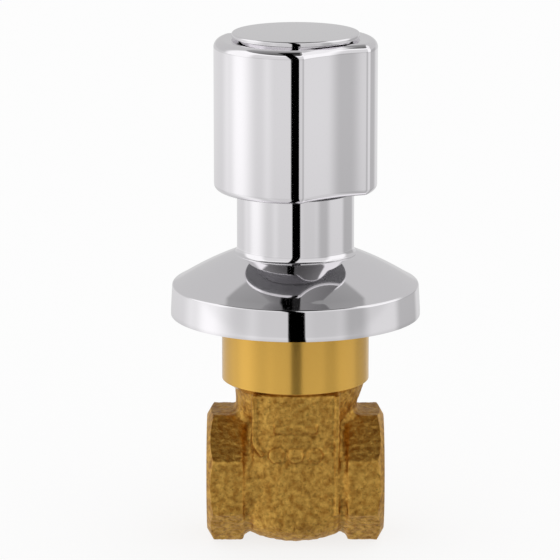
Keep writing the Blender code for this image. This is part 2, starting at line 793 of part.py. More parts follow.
def knob_cap(surface, parent):
    """The raised disc in the knob's top, on a spigot with a groove for its rubber ring."""
    z_top = z_cap + CAP_THICKNESS
    shoulder = CAP_THICKNESS - CAP_FILLET
    groove_r = cap_seal_r - CAP_SEAL_MINOR_R - GAP / 2
    groove_half = CAP_SEAL_MINOR_R + GAP
    spigot_inner = spigot_r - CAP_SPIGOT_WALL
    flat_r = cap_r - CAP_FILLET
    rings = 3
    profile = []
    for step in range(rings):
        share = step / rings
        profile.append((share * flat_r, z_top + CAP_DOME * (1 - share ** 2)))
    profile += arc(flat_r, z_cap + shoulder, CAP_FILLET, 90, 0, 3)
    profile += [
        (cap_r, z_cap),
        (spigot_r, z_cap),
        (spigot_r, z_cap_seal + groove_half),
        (groove_r, z_cap_seal + groove_half),
        (groove_r, z_cap_seal - groove_half),
        (spigot_r, z_cap_seal - groove_half),
        (spigot_r, z_cap - CAP_SPIGOT),
        (spigot_inner, z_cap - CAP_SPIGOT),
        (spigot_inner, z_cap),
        (0.0, z_cap),
    ]
    return turned("knob_cap", profile, surface, parent=parent)


def build():
    """Make every piece."""
    clear_scene()
    chrome = material("chrome_plate", (0.80, 0.80, 0.82), 1.0, 0.06)
    cast_brass = material("cast_brass", (0.55, 0.36, 0.12), 1.0, 0.45)
    turned_brass = material("turned_brass", (0.78, 0.58, 0.24), 1.0, 0.25)
    steel = material("stainless_steel", (0.62, 0.62, 0.62), 1.0, 0.30)
    rubber = material("black_rubber", (0.02, 0.02, 0.02), 0.0, 0.60)
    fibre = material("packing_fibre", (0.80, 0.78, 0.72), 0.0, 0.70)
    plastic = material("moulded_plastic", (0.75, 0.75, 0.73), 0.0, 0.40)

    handle = axis_empty("handle_axis")
    gate_axis = axis_empty("gate_axis")

    valve_body(cast_brass)
    gate(cast_brass, gate_axis)
    bonnet(turned_brass)
    stem(turned_brass, handle)
    packing((steel, fibre, rubber, turned_brass), handle)
    gland_nut(turned_brass)
    escutcheon(chrome)
    sleeve(chrome)
    knob(chrome, handle)
    knob_insert(plastic, handle)
    ring("screw_washer", SCREW_R + GAP, SCREW_WASHER_R, SCREW_WASHER_THICKNESS, steel, z_screw_washer, handle)
    knob_screw(steel, handle)
    knob_cap(chrome, handle)
    seal_ring("cap_o_ring", cap_seal_r, CAP_SEAL_MINOR_R, rubber, z_cap_seal, handle, facets=LARGE)

    for piece in bpy.data.collections["concealed_stop_valve"].objects:
        if piece.type == "MESH":
            smooth(piece)


build()
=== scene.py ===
import json
import math

import bmesh
import bpy
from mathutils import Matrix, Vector


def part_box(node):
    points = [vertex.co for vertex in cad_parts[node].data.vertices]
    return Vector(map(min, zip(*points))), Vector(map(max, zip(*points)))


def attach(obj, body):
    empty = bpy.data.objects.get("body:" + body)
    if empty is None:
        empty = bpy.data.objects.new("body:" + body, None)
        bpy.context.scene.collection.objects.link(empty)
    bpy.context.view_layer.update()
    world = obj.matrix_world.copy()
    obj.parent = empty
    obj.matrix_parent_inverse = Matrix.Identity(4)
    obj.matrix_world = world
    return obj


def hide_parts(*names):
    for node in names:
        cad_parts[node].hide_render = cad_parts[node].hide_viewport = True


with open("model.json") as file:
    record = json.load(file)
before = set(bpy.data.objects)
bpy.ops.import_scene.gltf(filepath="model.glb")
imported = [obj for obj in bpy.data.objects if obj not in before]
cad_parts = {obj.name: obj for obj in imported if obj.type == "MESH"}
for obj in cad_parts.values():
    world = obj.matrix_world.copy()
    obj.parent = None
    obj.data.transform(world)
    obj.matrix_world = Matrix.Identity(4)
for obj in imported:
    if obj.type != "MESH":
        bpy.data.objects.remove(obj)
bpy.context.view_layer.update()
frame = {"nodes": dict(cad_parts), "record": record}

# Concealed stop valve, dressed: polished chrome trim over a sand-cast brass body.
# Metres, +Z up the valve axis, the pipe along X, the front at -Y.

GAP = 0.0003                       # between neighbouring pieces, as in the solids
MERGE = 0.000001                   # points this near are one
ROUND = 192                        # points round a turned piece
POLISH_ANGLE = math.radians(32)    # a chrome piece keeps an edge that turns more than this
CAST_ANGLE = math.radians(40)      # the same for the casting
SQUARE = 0.99                      # a face whose normal has this much along an axis is square to it

# Places that the frame gives
knob_low, knob_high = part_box("knob")
cap_low, cap_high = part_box("knob_cap")
sleeve_low, sleeve_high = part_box("sleeve")
flange_low, flange_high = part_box("escutcheon")
body_low, body_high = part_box("valve_body")
gate_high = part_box("gate")[1]

# Knob and cap
KNOB_TOP_FILLET = 0.0022
KNOB_FOOT_FILLET = 0.0016
FLUTES = 2
FLUTE_DIRECTION = math.radians(-56)
FLUTE_DEPTH = 0.0041
FLUTE_R = 0.036
FLUTE_CORNER_EXTRA = 0.0003        # by which a flute's corners are rounder than the top edge
FLUTE_CORNER = KNOB_TOP_FILLET + FLUTE_CORNER_EXTRA
FLUTE_CORNER_STEPS = 12            # points along a flute's corner, a flute and the rim between two flutes
FLUTE_STEPS = 40
KNOB_RIM_STEPS = 96
KNOB_WALL = 0.0023                 # behind a flute
PLAIN_BELOW = -0.82                # faces that look down more than this are left unplated
KNOB_RECESS = 0.0115
KNOB_WEB = 0.004
KNOB_HUB_HOLE_R = 0.008
CAP_FILLET = 0.0005
CAP_DOME = 0.0002
CAP_EDGE = 0.0011
CAP_SPIGOT_WALL = 0.0015
CAP_GROOVE_BELOW = 0.0037          # of the seal's groove below the cap
CAP_GROOVE_HALF = 0.0008
CAP_GROOVE_DEPTH = 0.001

# Sleeve and wall flange
SLEEVE_WALL = 0.0011
SLEEVE_BEAD = 0.0008
SLEEVE_BEAD_HEIGHT = 0.0017
SLEEVE_BEAD_LAND = 0.0002
SLEEVE_EDGE = 0.00025
FLANGE_SHELL = 0.001
FLANGE_RIM = 0.0082
FLANGE_CROWN = 0.0005
RIM_DRAFT = 0.00035
RIM_FILLET = 0.0007
RIM_LAND = 0.0012
THROAT_LIP = 0.0037
THROAT_EDGE = 0.0005

# Casting
PORT_R = 0.01205                   # at the thread's crests
PORT_DEPTH = 0.013
PORT_CHAMFER = 0.001
END_WALL = 0.00475                 # from the port to a flat of the octagon
END_SIDES = 8
END_LENGTH = 0.0095
CAST_FILLET = 0.0009               # of the casting's inner corners
FACE_LAND = 0.00195
FACE_CHAMFER_ANGLE = math.radians(30)
FLOW_R = 0.009
WAIST_STEP = 0.001
CHAMBER_HALF_LENGTH = 0.011
CHAMBER_HALF_DEPTH = 0.0170
CHAMBER_CORNER = 0.010
CHAMBER_CROWN = 0.0019
CHAMBER_LIFT = 0.0002
CHAMBER_FLARE = 0.0018
CHAMBER_FLARE_START = 0.0065
NECK_LEAN = 0.0013
NECK_FOOT_R = 0.0115
NECK_STEP = 0.0021
NECK_TAPER = 0.0015
NECK_SHOULDER = 0.0175
COLLAR_LENGTH = 0.0155
COLLAR_CHAMFER_WIDTH = 0.0036
COLLAR_CHAMFER_LENGTH = 0.00235
COLLAR_BORE_BELOW = 0.001
COLLAR_WALL = 0.0027
COLLAR_EDGE = 0.0005
GATE_EDGE_GAP = 0.0005
GATE_HALF_THICKNESS = 0.006
GATE_TAPER = math.radians(4)
THREAD_PITCH = 0.0254 / 14         # pipe thread, fourteen to the inch
THREAD_DEPTH = 0.00116
SKIN_VOXEL = 0.00034               # mesh size of the cast skin
SKIN_PATTERNS = (                  # what the sand left: size across, octaves and height
    ("sand_lumps", 0.0026, 2, 0.00034),
    ("sand_grain", 0.0010, 2, 0.00034),
)

# Low relief on the casting's front
LIP_R = 0.0007                     # of the lips along the chamber's two edges
LIP_FOOT = 0.0090                  # height of the right lip's lower end
LIP_BEND = 0.0115                  # above the pipe axis, where the left lip turns inwards
LIP_END = 0.0085                   # above the pipe axis, where it runs out
LIP_INWARD = 0.0022                # how far it has come in by then
LIP_FORWARD = 0.0012               # and how far forwards
BOSS_R = 0.0020
BOSS_DEPTH = 0.0030
BOSS_SINK = 0.0006                 # of a boss's middle behind the front
BOSS_PITCH = 0.0050
BOSS_Z = 0.0256
BAR_R = 0.0016
BAR_SINK = 0.0001
BAR_HALF = 0.0055
BAR_Z = 0.0328

# Sizes that follow
pipe_z = PORT_R + END_WALL
knob_r = knob_high.x
cavity_r = knob_r - FLUTE_DEPTH - KNOB_WALL
sleeve_r = sleeve_high.x - SLEEVE_BEAD
collar_r = body_high.y
collar_top = body_high.z
collar_low = collar_top - COLLAR_LENGTH
collar_floor = collar_low - COLLAR_BORE_BELOW
face_x = body_high.x


def linear(code):
    """A colour written as sRGB hex, as the linear values that a shader takes."""
    channels = [int(code[i:i + 2], 16) / 255 for i in (1, 3, 5)]
    return [c / 12.92 if c <= 0.04045 else ((c + 0.055) / 1.055) ** 2.4 for c in channels] + [1.0]


# Modelling

def deselect():
    """Leave edit mode, with nothing selected."""
    if bpy.context.mode != "OBJECT":
        bpy.ops.object.mode_set(mode="OBJECT")
    bpy.ops.object.select_all(action="DESELECT")


def pick(piece):
    """Make one object the only selected one."""
    deselect()
    bpy.context.view_layer.objects.active = piece
    piece.select_set(True)


def named(name):
    """Name the object that was just added, with its place in its mesh."""
    piece = bpy.context.object
    piece.name = name
    piece.data.name = name
    bpy.ops.object.transform_apply(location=True, rotation=True, scale=True)
    return piece


def select(piece, kind, wanted):
    """In edit mode, select the piece's VERT, EDGE or FACE elements that are wanted."""
    bpy.ops.mesh.select_mode(type=kind)
    bpy.ops.mesh.select_all(action="DESELECT")
    shape = bmesh.from_edit_mesh(piece.data)
    elements = {"VERT": shape.verts, "EDGE": shape.edges, "FACE": shape.faces}[kind]
    for element in elements:
        element.select_set(wanted(element))
    shape.select_flush_mode()
    bmesh.update_edit_mesh(piece.data)


def modify(piece, kind, **settings):
    """Add a modifier and apply it."""
    pick(piece)
    modifier = piece.modifiers.new(kind.title(), kind)
    for name, value in settings.items():
        setattr(modifier, name, value)
    bpy.ops.object.modifier_apply(modifier=modifier.name)


def combine(piece, operation, *tools, solver="MANIFOLD"):
    """Join tools to the piece, cut them out or keep what they share, and remove them."""
    for tool in tools:
        modify(piece, "BOOLEAN", operation=operation, solver=solver, object=tool)
        bpy.data.objects.remove(tool)
    return piece


def arc(centre_r, centre_z, radius, start, end, steps):
    """Points of an arc in a profile, angles in degrees from the outward direction."""
    points = []
    for step in range(steps + 1):
        angle = math.radians(start + (end - start) * step / steps)
        points.append((centre_r + radius * math.cos(angle), centre_z + radius * math.sin(angle)))
    return points


def trace(name, points):
    """Draw a chain through points, by extruding one point to the next; it stays in edit mode."""
    deselect()
    bpy.ops.mesh.primitive_plane_add(size=0.01)
    piece = named(name)
    bpy.ops.object.mode_set(mode="EDIT")
    bpy.ops.mesh.select_mode(type="VERT")
    bpy.ops.mesh.select_all(action="SELECT")
    bpy.ops.mesh.merge(type="CENTER")
    bpy.ops.transform.translate(value=points[0])
    for before, after in zip(points, points[1:]):
        step = Vector(after) - Vector(before)
        bpy.ops.mesh.extrude_vertices_move(TRANSFORM_OT_translate={"value": step})
    bpy.ops.mesh.select_all(action="SELECT")
    bpy.ops.mesh.remove_doubles(threshold=MERGE)
    return piece


def close_up():
    """Merge doubles, turn all faces outwards and leave edit mode."""
    bpy.ops.mesh.select_all(action="SELECT")
    bpy.ops.mesh.remove_doubles(threshold=MERGE)
    bpy.ops.mesh.normals_make_consistent(inside=False)
    bpy.ops.object.mode_set(mode="OBJECT")


def lathe(name, profile, closed=False):
    """Turn a profile of (radius, height) about the valve axis; a closed profile makes a ring."""
    points = [(radius, 0, height) for radius, height in profile]
    if closed:
        points.append(points[0])
    piece = trace(name, points)
    bpy.ops.mesh.spin(steps=ROUND, angle=2 * math.pi, center=(0, 0, 0), axis=(0, 0, 1))
    close_up()
    return piece


def along_pipe(piece, side, x):
    """Lay a piece that was turned about Z along the pipe, its +Z pointing out at that side."""
    pick(piece)
    piece.rotation_euler.y = side * math.pi / 2
    piece.location = (side * x, 0, pipe_z)
    bpy.ops.object.transform_apply(location=True, rotation=True, scale=True)
    return piece


def give_finishes(finishes, piece, *tools):
    """Give a piece and its tools the same two finishes: the first on the piece, the second on the tools."""
    for part in (piece, *tools):
        part.data.materials.clear()
        for finish in finishes:
            part.data.materials.append(finish)
    for tool in tools:
        for face in tool.data.polygons:
            face.material_index = 1


def polish(piece):
    """Smooth the round surfaces, keep the real edges, and let large faces rule the shading."""
    pick(piece)
    bpy.ops.object.shade_smooth_by_angle(angle=POLISH_ANGLE)
    modify(piece, "WEIGHTED_NORMAL", keep_sharp=True, weight=50)
    return piece


# Materials

def add(tree, kind, links=None, **settings):
    """Add a node; links gives its inputs a value or another node's output."""
    node = tree.nodes.new(kind)
    for name, value in settings.items():
        setattr(node, name, value)
    for name, value in (links or {}).items():
        if isinstance(value, bpy.types.NodeSocket):
            tree.links.new(value, node.inputs[name])
        else:
            node.inputs[name].default_value = value
    return node


def surface(name):
    """A new material, its tree, its shader and its object coordinates."""
    made = bpy.data.materials.new(name)
    made.use_nodes = True
    tree = made.node_tree
    shader = tree.nodes["Principled BSDF"]
    place = add(tree, "ShaderNodeTexCoord").outputs["Object"]
    return made, tree, shader, place


def polished_chrome():
    """Chrome plate over a buffed base: a neutral mirror, with the faint haze that wiping leaves."""
    haze_size = 0.012
    swell_size = 0.009                 # of the base's faint swell after buffing
    made, tree, shader, place = surface("polished_chrome_plate")
    shader.inputs["Base Color"].default_value = linear("#EDEBEE")
    shader.inputs["Metallic"].default_value = 1.0
    haze = add(tree, "ShaderNodeTexNoise", {"Vector": place, "Scale": 1 / haze_size, "Detail": 3.0})
    rough = add(tree, "ShaderNodeMapRange", {"Value": haze.outputs["Fac"], "To Min": 0.035, "To Max": 0.06})
    tree.links.new(rough.outputs["Result"], shader.inputs["Roughness"])
    swell = add(tree, "ShaderNodeTexNoise", {"Vector": place, "Scale": 1 / swell_size, "Detail": 1.0})
    bump = add(tree, "ShaderNodeBump", {"Height": swell.outputs["Fac"], "Strength": 0.02, "Distance": 0.0002})
    tree.links.new(bump.outputs["Normal"], shader.inputs["Normal"])
    return made


def sand_cast_brass():
    """Brass as it left the sand: dull, grainy and mottled, brown in its pits, with painted shade that darkens
    its hollows and the faces that look up.
    """
    blotch_size = 0.0015
    grain_size = 0.0006                # coarser than moulding sand, so that it shows
    pit_size = 0.0009
    made, tree, shader, place = surface("sand_cast_brass")
    shader.inputs["Metallic"].default_value = 1.0
    blotch = add(tree, "ShaderNodeTexNoise", {"Vector": place, "Scale": 1 / blotch_size, "Detail": 5.0})
    grain = add(tree, "ShaderNodeTexNoise", {"Vector": place, "Scale": 1 / grain_size, "Detail": 3.0})
    tone = add(tree, "ShaderNodeValToRGB", {"Fac": blotch.outputs["Fac"]})
    tone.color_ramp.elements[0].position = 0.32
    tone.color_ramp.elements[0].color = linear("#B07C33")
    tone.color_ramp.elements[1].position = 0.68
    tone.color_ramp.elements[1].color = linear("#E9B95C")
    # painted shade: concave places, found by pointiness, are darkened
    relief = add(tree, "ShaderNodeNewGeometry").outputs["Pointiness"]
    hollow = add(tree, "ShaderNodeMapRange", {"Value": relief, "From Min": 0.42, "From Max": 0.50})
    # painted shade: faces that look up are darkened, as if shaded from above
    facing = add(tree, "ShaderNodeSeparateXYZ", {"Vector": add(tree, "ShaderNodeTexCoord").outputs["Normal"]})
    top = add(tree, "ShaderNodeMapRange", {"Value": facing.outputs["Z"], "From Min": 0.45, "From Max": 0.8,
                                           "To Min": 1.0, "To Max": 0.64})
    # dark pits at random, the casting's own colour
    speck = add(tree, "ShaderNodeTexNoise", {"Vector": place, "Scale": 1 / pit_size, "Detail": 1.0})
    pit = add(tree, "ShaderNodeMapRange", {"Value": speck.outputs["Fac"], "From Min": 0.28, "From Max": 0.40,
                                           "To Min": 0.62, "To Max": 1.0})
    lower = add(tree, "ShaderNodeMath", {0: hollow.outputs["Result"], 1: pit.outputs["Result"]},
                operation="MINIMUM")
    clear_of_pits_and_painted_shade = add(tree, "ShaderNodeMath", {0: lower.outputs[0], 1: top.outputs["Result"]}, operation="MINIMUM")
    # dark brown for the random pits, and for the painted shade in hollows and on faces that look up
    pits_and_painted_shade = add(tree, "ShaderNodeMix", {"Factor": clear_of_pits_and_painted_shade.outputs[0]}, data_type="RGBA")
    pits_and_painted_shade.inputs["A"].default_value = linear("#5E4014")
    tree.links.new(tone.outputs["Color"], pits_and_painted_shade.inputs["B"])
    tree.links.new(pits_and_painted_shade.outputs["Result"], shader.inputs["Base Color"])
    rough = add(tree, "ShaderNodeMapRange", {"Value": grain.outputs["Fac"], "To Min": 0.36, "To Max": 0.58})
    tree.links.new(rough.outputs["Result"], shader.inputs["Roughness"])
    bump = add(tree, "ShaderNodeBump", {"Height": grain.outputs["Fac"], "Strength": 0.9, "Distance": 0.00022})
    tree.links.new(bump.outputs["Normal"], shader.inputs["Normal"])
    return made


def turned_brass():
    """Brass off the lathe: yellow, satin, with the tool's fine rings, under a thin film that dulls it."""
    ring_size = 0.0012                 # rings 0.38 mm apart, so that they show (0.31 of this)
    made, tree, shader, place = surface("turned_brass")
    shader.inputs["Base Color"].default_value = linear("#E4B454")
    shader.inputs["Metallic"].default_value = 0.74
    rings = add(tree, "ShaderNodeTexWave", {"Vector": place, "Scale": 1 / ring_size, "Distortion": 0.4},
                wave_type="BANDS", bands_direction="Z")
    rough = add(tree, "ShaderNodeMapRange", {"Value": rings.outputs["Fac"], "To Min": 0.15, "To Max": 0.21})
    tree.links.new(rough.outputs["Result"], shader.inputs["Roughness"])
    bump = add(tree, "ShaderNodeBump", {"Height": rings.outputs["Fac"], "Strength": 0.1, "Distance": 0.00002})
    tree.links.new(bump.outputs["Normal"], shader.inputs["Normal"])
    return made


def plain_finish(name, colour, metallic, roughness, grain_size, grain_depth):
    """A plain finish, mostly for hidden pieces: one colour that varies a little, over a fine grain."""
    made, tree, shader, place = surface(name)
    shader.inputs["Metallic"].default_value = metallic
    grain = add(tree, "ShaderNodeTexNoise", {"Vector": place, "Scale": 1 / grain_size, "Detail": 3.0})
    tone = add(tree, "ShaderNodeMix", {"Factor": grain.outputs["Fac"]}, data_type="RGBA")
    base = linear(colour)
    tone.inputs["A"].default_value = [c * 0.85 for c in base[:3]] + [1.0]
    tone.inputs["B"].default_value = base
    tree.links.new(tone.outputs["Result"], shader.inputs["Base Color"])
    shader.inputs["Roughness"].default_value = roughness
    bump = add(tree, "ShaderNodeBump", {"Height": grain.outputs["Fac"], "Strength": 0.4,
                                        "Distance": grain_depth})
    tree.links.new(bump.outputs["Normal"], shader.inputs["Normal"])
    return made


# Chrome trim

def knob_outline():
    """The knob's outline: long arcs of its rim, concave flutes and rounded corners between them."""
    flute_centre = knob_r - FLUTE_DEPTH + FLUTE_R
    orbit = knob_r - FLUTE_CORNER
    reach = FLUTE_R + FLUTE_CORNER
    half = math.acos((orbit ** 2 + flute_centre ** 2 - reach ** 2) / (2 * orbit * flute_centre))
    lean = math.atan2(orbit * math.sin(half), flute_centre - orbit * math.cos(half))
    pitch = 2 * math.pi / FLUTES
    points = []

    def sweep(direction, distance, bearing, radius, start, end, steps):
        """Add an arc whose centre lies off the knob's axis; its last point starts the next arc."""
        for step in range(steps):
            angle = direction + start + (end - start) * step / steps
            x = distance * math.cos(direction + bearing) + radius * math.cos(angle)
            y = distance * math.sin(direction + bearing) + radius * math.sin(angle)
            points.append((x, y))

    for flute in range(FLUTES):
        direction = FLUTE_DIRECTION + flute * pitch
        sweep(direction, orbit, -half, FLUTE_CORNER, -half, lean, FLUTE_CORNER_STEPS)
        sweep(direction, flute_centre, 0.0, FLUTE_R, math.pi + lean, math.pi - lean, FLUTE_STEPS)
        sweep(direction, orbit, half, FLUTE_CORNER, -lean, half, FLUTE_CORNER_STEPS)
        sweep(direction, 0.0, 0.0, knob_r, half, pitch - half, KNOB_RIM_STEPS)
    return points


def fluted_knob(plated, plain):
    """The knob: a cylinder moved onto its outline, rounded edges, a recess for the cap, a dull foot."""
    outline = knob_outline()
    count = len(outline)
    deselect()
    bpy.ops.mesh.primitive_cylinder_add(vertices=count, radius=knob_r, depth=knob_high.z - knob_low.z,
                                        location=(0, 0, (knob_low.z + knob_high.z) / 2))
    piece = named("fluted_knob")
    for vertex in piece.data.vertices:
        turn = math.atan2(vertex.co.y, vertex.co.x) / (2 * math.pi)
        vertex.co.x, vertex.co.y = outline[round(turn * count) % count]
    bpy.ops.object.mode_set(mode="EDIT")
    for level, fillet in ((knob_high.z, KNOB_TOP_FILLET), (knob_low.z, KNOB_FOOT_FILLET)):
        select(piece, "EDGE", lambda edge: all(abs(v.co.z - level) < MERGE for v in edge.verts))
        bpy.ops.mesh.bevel(offset=fillet, segments=9, affect="EDGES", clamp_overlap=False)
    bpy.ops.object.mode_set(mode="OBJECT")
    web_top = knob_high.z - KNOB_RECESS
    web_low = web_top - KNOB_WEB
    past = 0.001
    recess = lathe("recess", [
        (0.0, knob_high.z + past),
        (cavity_r, knob_high.z + past),
        (cavity_r, web_top),
        (KNOB_HUB_HOLE_R, web_top),
        (KNOB_HUB_HOLE_R, web_low - past),
        (0.0, web_low - past),
    ])
    hollow = lathe("hollow", [
        (0.0, web_low),
        (cavity_r, web_low),
        (cavity_r, knob_low.z - past),
        (0.0, knob_low.z - past),
    ])
    give_finishes((plated, plain), piece, recess, hollow)
    for face in piece.data.polygons:
        if face.normal.z < PLAIN_BELOW:
            face.material_index = 1
    combine(piece, "DIFFERENCE", recess, hollow)
    return polish(piece)


def raised_cap():
    """The round disc on the knob's top, slightly domed, on a spigot with a groove for its ring."""
    cap_r = cap_high.x
    flat_r = cap_r - CAP_FILLET
    top = cap_high.z - CAP_DOME
    under = top - CAP_EDGE
    spigot_r = cavity_r - GAP
    seal = under - CAP_GROOVE_BELOW
    steps = 10
    profile = []
    for step in range(steps):
        share = step / steps
        profile.append((share * flat_r, top + CAP_DOME * (1 - share ** 2)))
    profile += arc(flat_r, top - CAP_FILLET, CAP_FILLET, 90, 0, steps=8)
    profile += [
        (cap_r, under),
        (spigot_r, under),
        (spigot_r, seal + CAP_GROOVE_HALF),
        (spigot_r - CAP_GROOVE_DEPTH, seal + CAP_GROOVE_HALF),
        (spigot_r - CAP_GROOVE_DEPTH, seal - CAP_GROOVE_HALF),
        (spigot_r, seal - CAP_GROOVE_HALF),
        (spigot_r, cap_low.z),
        (spigot_r - CAP_SPIGOT_WALL, cap_low.z),
        (spigot_r - CAP_SPIGOT_WALL, under),
        (0.0, under),
    ]
    return polish(lathe("raised_cap", profile))


def flared_sleeve():
    """The tube between knob and flange, its foot flared like a fillet."""
    inner = sleeve_r - SLEEVE_WALL
    bead = flange_high.z
    top = sleeve_high.z
    profile = [(inner, top), (sleeve_r - SLEEVE_EDGE, top), (sleeve_r, top - SLEEVE_EDGE)]
    steps = 10
    for step in range(steps + 1):
        angle = math.pi / 2 * step / steps
        height = SLEEVE_BEAD_LAND + SLEEVE_BEAD_HEIGHT * (1 - math.sin(angle))
        profile.append((sleeve_r + SLEEVE_BEAD * (1 - math.cos(angle)), bead + height))
    profile += [
        (sleeve_r + SLEEVE_BEAD, bead),
        (sleeve_r, bead),
        (sleeve_r, sleeve_low.z),
        (inner, sleeve_low.z),
    ]
    return polish(lathe("flared_sleeve", profile, closed=True))


def wall_flange():
    """The pressed wall flange: a lip round the sleeve, a crowned cone and an upright rim, in thin metal."""
    throat_r = sleeve_r + GAP
    throat_top = flange_high.z
    rim_low = flange_low.z
    rim_top = rim_low + FLANGE_RIM
    rise = throat_top - rim_top
    rim_r = flange_high.x - RIM_DRAFT
    cone_foot = rim_r - RIM_FILLET
    cone_head = throat_r + THROAT_EDGE
    slope = math.degrees(math.atan2(rise, cone_foot - throat_r))
    profile = [
        (throat_r, throat_top - THROAT_LIP),
        (throat_r, throat_top - THROAT_EDGE),
        (cone_head, throat_top),
    ]
    steps = 16
    for step in range(1, steps):
        share = step / steps
        crown = FLANGE_CROWN * 4 * share * (1 - share)
        profile.append((cone_head + share * (cone_foot - cone_head), throat_top - share * rise + crown))
    profile += arc(cone_foot, rim_top - RIM_FILLET, RIM_FILLET, 90 - slope, 0, steps=8)
    profile.append((flange_high.x, rim_low + RIM_LAND))
    profile.append((flange_high.x, rim_low))
    piece = lathe("wall_flange", profile)
    modify(piece, "SOLIDIFY", thickness=FLANGE_SHELL, offset=-1, use_even_offset=True)
    return polish(piece)


# Casting

def cast_end(side):
    """One octagonal end as cast, left long where its face is turned later."""
    spare = 0.0005
    half_side = math.pi / END_SIDES
    corner = pipe_z / math.cos(half_side)
    deselect()
    bpy.ops.mesh.primitive_cylinder_add(vertices=END_SIDES, radius=corner, depth=END_LENGTH + spare,
                                        location=(0, 0, (spare - END_LENGTH) / 2),
                                        rotation=(0, 0, half_side))
    return along_pipe(named("end"), side, face_x)


def cast_waist():
    """The round middle of the body, between its ends."""
    deselect()
    bpy.ops.mesh.primitive_cylinder_add(
        vertices=64,
        radius=pipe_z - WAIST_STEP,
        depth=2 * face_x - END_LENGTH,
        location=(0, 0, pipe_z),
        rotation=(0, math.pi / 2, 0),
    )
    return named("waist")


def cast_chamber():
    """The slab-shaped chamber across the pipe: a U outline drawn once and extruded in slices."""
    top = collar_low - COLLAR_EDGE
    start = pipe_z + CHAMBER_FLARE_START
    levels = 8
    side = []
    for level in range(levels):
        share = 1 - level / levels
        stand_out = CHAMBER_FLARE * (1 - math.cos(math.pi * share)) / 2
        side.append((CHAMBER_HALF_DEPTH + stand_out, start + share * (top - start)))
    corner_z = CHAMBER_LIFT + CHAMBER_CORNER
    side += arc(CHAMBER_HALF_DEPTH - CHAMBER_CORNER, corner_z, CHAMBER_CORNER, 0, -90, steps=10)
    other = [(-depth, height) for depth, height in reversed(side)]
    piece = trace("chamber", [(-CHAMBER_HALF_LENGTH, depth, height) for depth, height in side + other])
    bpy.ops.mesh.edge_face_add()

    def inset(x):
        """How far the skin draws in towards the chamber's two sides."""
        return CHAMBER_CROWN * (x / CHAMBER_HALF_LENGTH) ** 2

    slices = 12
    pitch = 2 * CHAMBER_HALF_LENGTH / slices
    widest = CHAMBER_HALF_DEPTH
    tallest = top - CHAMBER_LIFT
    first = inset(CHAMBER_HALF_LENGTH)
    shrink = Vector((1, 1 - first / widest, 1 - first / tallest))
    bpy.ops.transform.resize(value=shrink, center_override=(0, 0, top))
    for slice_ in range(1, slices + 1):
        x = -CHAMBER_HALF_LENGTH + slice_ * pitch
        change = Vector((1, 1 - inset(x) / widest, 1 - inset(x) / tallest))
        value = (1, change.y / shrink.y, change.z / shrink.z)
        bpy.ops.mesh.extrude_region_move(TRANSFORM_OT_translate={"value": (pitch, 0, 0)})
        bpy.ops.transform.resize(value=value, center_override=(0, 0, top))
        shrink = change
    close_up()
    return piece


def cast_neck():
    """The raw round neck, leaning a little as it rises into the collar."""
    foot = pipe_z + NECK_SHOULDER - NECK_STEP
    neck_top_r = collar_r - NECK_STEP
    rings = [
        (NECK_FOOT_R, foot - NECK_FOOT_R, 0),
        (NECK_FOOT_R, foot - NECK_FOOT_R / 2, 0),
        (neck_top_r - NECK_TAPER, pipe_z + NECK_SHOULDER, 0),
        (neck_top_r, collar_low, NECK_LEAN),
        (neck_top_r, collar_low + COLLAR_EDGE, NECK_LEAN),
    ]
    radius, height, lean = rings[0]
    deselect()
    bpy.ops.mesh.primitive_circle_add(vertices=64, radius=radius, fill_type="NGON", location=(0, 0, height))
    piece = named("neck")
    bpy.ops.object.mode_set(mode="EDIT")
    bpy.ops.mesh.select_all(action="SELECT")
    for next_radius, next_height, next_lean in rings[1:]:
        step = (next_lean - lean, 0, next_height - height)
        bpy.ops.mesh.extrude_region_move(TRANSFORM_OT_translate={"value": step})
        scale = next_radius / radius
        bpy.ops.transform.resize(value=(scale, scale, 1), center_override=(next_lean, 0, next_height))
        radius, height, lean = next_radius, next_height, next_lean
    close_up()
    return piece


def cast_relief():
    """Low relief on the chamber's front: plain bosses and a bar, and the lips along its two edges."""
    pieces = []
    front = -CHAMBER_HALF_DEPTH

    def boss(x, z):
        """A low round boss, which follows the crown of the front."""
        y = front + BOSS_SINK + CHAMBER_CROWN * (x / CHAMBER_HALF_LENGTH) ** 2
        deselect()
        bpy.ops.mesh.primitive_cylinder_add(vertices=24, radius=BOSS_R, depth=BOSS_DEPTH,
                                            location=(x, y, z), rotation=(math.pi / 2, 0, 0))
        pieces.append(named("boss"))

    def bar(start, end, radius):
        """A raised bar with a round section, from one point to another."""
        run = Vector(end) - Vector(start)
        deselect()
        bpy.ops.mesh.primitive_cylinder_add(vertices=12, radius=radius, depth=run.length)
        tool = bpy.context.object
        tool.rotation_euler = run.to_track_quat("Z", "Y").to_euler()
        tool.location = (Vector(end) + Vector(start)) / 2
        pieces.append(named("bar"))

    side = CHAMBER_HALF_LENGTH - LIP_R / 2
    depth = front + CHAMBER_CROWN - LIP_R / 3
    top = collar_low - LIP_R
    flared = depth - CHAMBER_FLARE
    right_bend = (side, depth, pipe_z + CHAMBER_FLARE_START)
    left_bend = (-side, depth, pipe_z + LIP_BEND)
    bar((side, flared, top), right_bend, LIP_R)
    bar(right_bend, (side, depth, LIP_FOOT), LIP_R)
    bar((-side, flared, top), left_bend, LIP_R)
    bar(left_bend, (-side + LIP_INWARD, depth - LIP_FORWARD, pipe_z + LIP_END), LIP_R)
    for x in (-BOSS_PITCH, 0.0, BOSS_PITCH):
        boss(x, BOSS_Z)
    bar((-BAR_HALF, front + BAR_SINK, BAR_Z), (BAR_HALF, front + BAR_SINK, BAR_Z), BAR_R)
    return pieces


